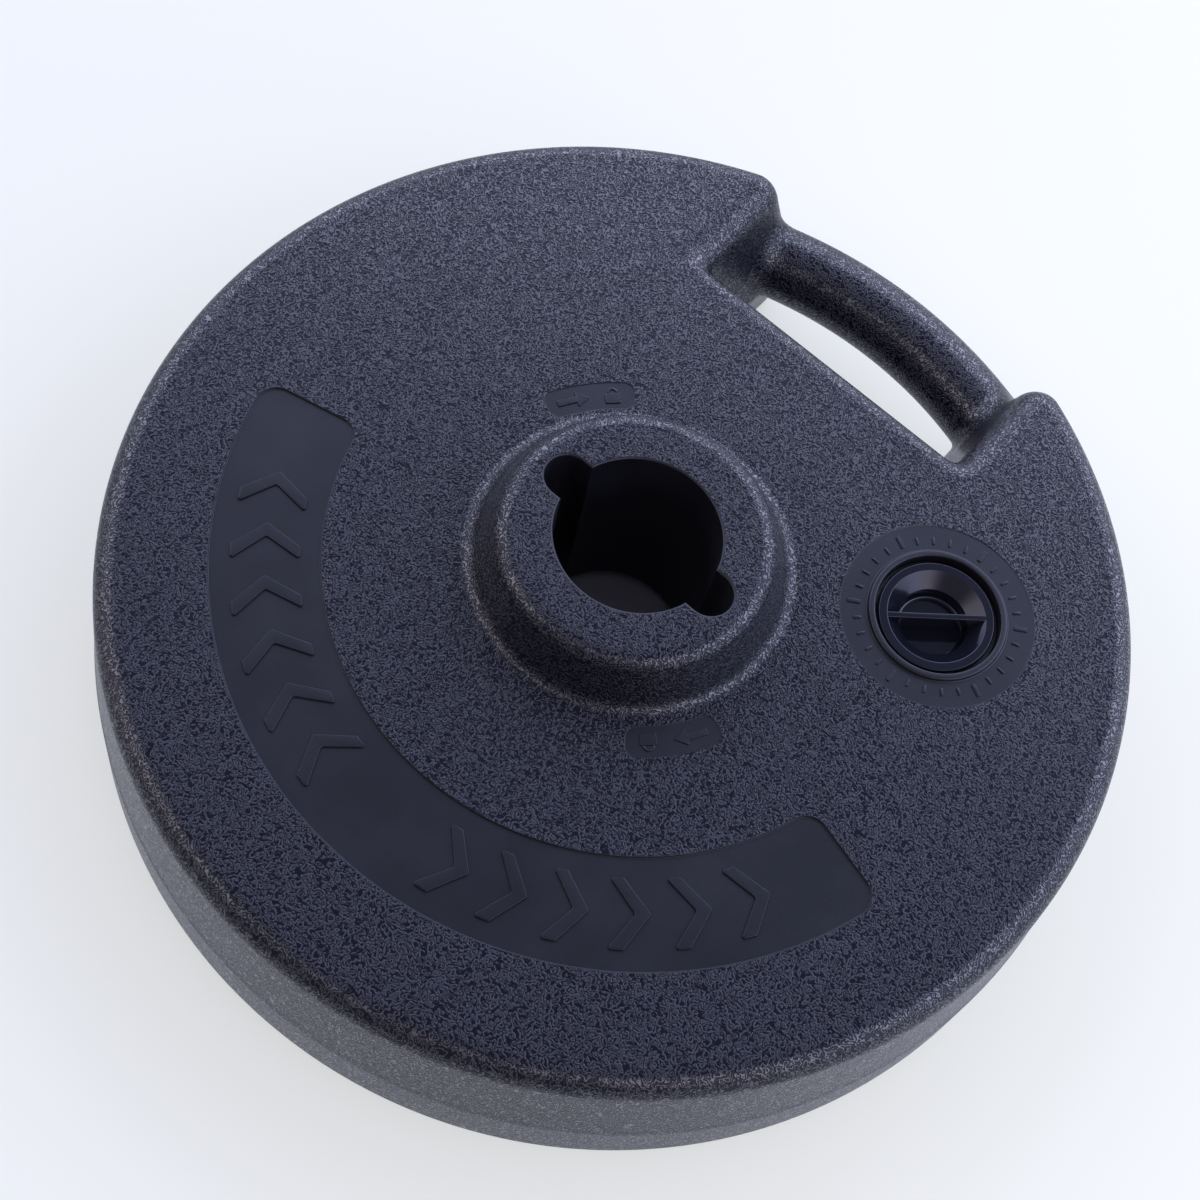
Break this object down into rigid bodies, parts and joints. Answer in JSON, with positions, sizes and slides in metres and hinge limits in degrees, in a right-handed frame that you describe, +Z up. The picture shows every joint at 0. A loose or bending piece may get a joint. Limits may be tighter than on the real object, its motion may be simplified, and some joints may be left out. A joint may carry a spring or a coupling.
{
  "type": "banner stand base",
  "caption": "Round fillable base for a banner or flag pole, with a keyed central socket, a carrying grip in its rim and a screw plug over its fill neck.",
  "frame": {"origin": "on the socket's axis, in the plane of the foot ring that stands on the ground", "axes": "+Z up along the socket, +Y from the socket's axis toward the middle of the carrying grip, X across the two keyways; the fill neck is on the +X +Y side"},
  "size_m": [0.3818, 0.3809, 0.0983],
  "materials": {
    "grained_plastic": "fine pebble grain, satin; smooth in the name band, on the pads and in the socket",
    "plug_plastic": "smooth, glossy",
    "seal_rubber": "matte"
  },
  "bodies": {
    "base": {"base_shell": "grained_plastic"},
    "seal": {"plug_seal": "seal_rubber"},
    "plug": {"fill_plug": "plug_plastic"}
  },
  "joints": [
    {"name": "plug_lift", "type": "slide", "parent": "base", "child": "seal", "axis": [0, 0, 1], "range_m": [0, 0.01]},
    {"name": "plug_turn", "type": "hinge", "parent": "seal", "child": "plug", "pos_m": [0.0933, 0.06105, 0.0739], "axis": [0, 0, 1], "range_deg": [0, 900]}
  ],
  "couplings": [
    {"joint": "plug_lift", "follows": "plug_turn", "m_per_rad": 0.0006366}
  ]
}
